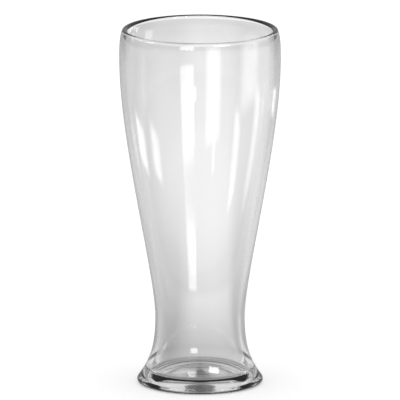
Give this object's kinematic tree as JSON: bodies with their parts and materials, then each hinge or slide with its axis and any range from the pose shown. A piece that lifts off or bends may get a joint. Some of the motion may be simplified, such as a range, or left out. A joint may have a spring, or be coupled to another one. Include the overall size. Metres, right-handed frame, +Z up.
{
  "type": "beer glass",
  "caption": "Tall clear beer glass with a rounded lip, a full belly below it, a narrow waist and a flared, hollow foot, for holding a drink.",
  "frame": {"origin": "on the table plane, under the centre of the foot", "axes": "+Z up along the glass's axis of revolution, from the foot to the lip; X and Y are any two directions across it"},
  "size_m": [0.0806, 0.0806, 0.18],
  "materials": {
    "clear_glass": "clear soda-lime glass, smooth and fire-polished, with a faint blown waviness"
  },
  "bodies": {
    "root": {"bowl": "clear_glass", "foot": "clear_glass"}
  },
  "joints": []
}
